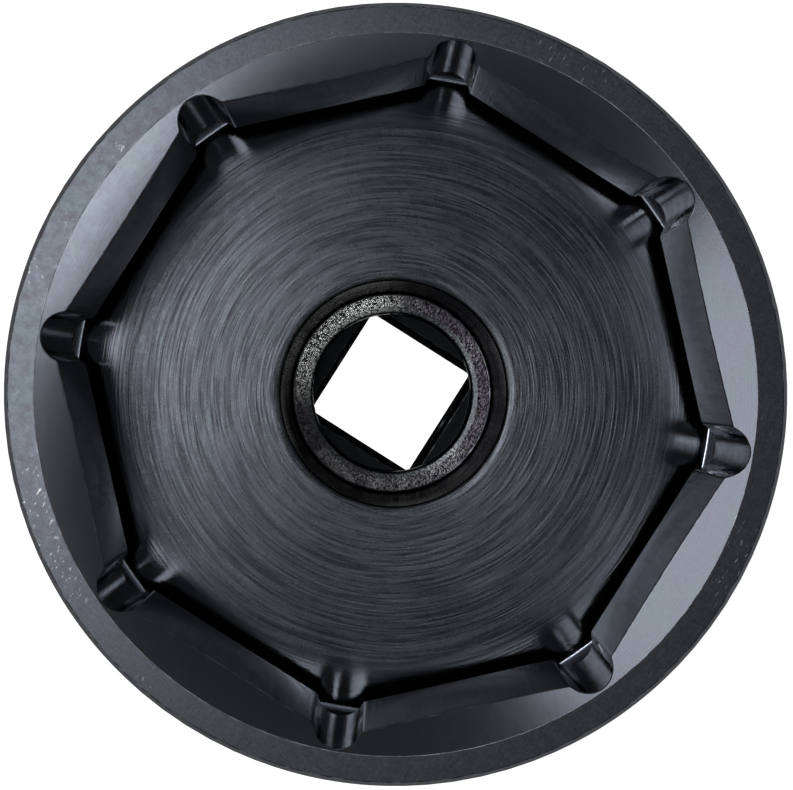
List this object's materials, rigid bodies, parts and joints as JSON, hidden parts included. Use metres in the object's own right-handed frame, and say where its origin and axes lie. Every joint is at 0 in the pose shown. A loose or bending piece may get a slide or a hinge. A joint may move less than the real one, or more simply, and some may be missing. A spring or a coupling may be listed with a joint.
{
  "type": "oil filter wrench",
  "caption": "Heavy steel cup-type oil filter wrench: an eight-sided socket cup with round corner reliefs, on a hub with a square drive.",
  "frame": {"origin": "centre of the hub's drive-end face, the face that the tool stands on", "axes": "+Z along the tool's axis, from the drive end to the cup's mouth; +X and +Y square to sides of the drive and to flats of the cup"},
  "size_m": [0.0922, 0.0922, 0.07],
  "materials": {
    "cup_steel": "turned steel with an oiled black oxide coat, semi-gloss",
    "hub_steel": "turned steel with an oiled black oxide coat, a little duller than the cup",
    "weld_steel": "rippled weld metal under black oxide, dull"
  },
  "bodies": {
    "root": {"socket_cup": "cup_steel", "drive_hub": "hub_steel", "weld_bead": "weld_steel"}
  },
  "joints": []
}
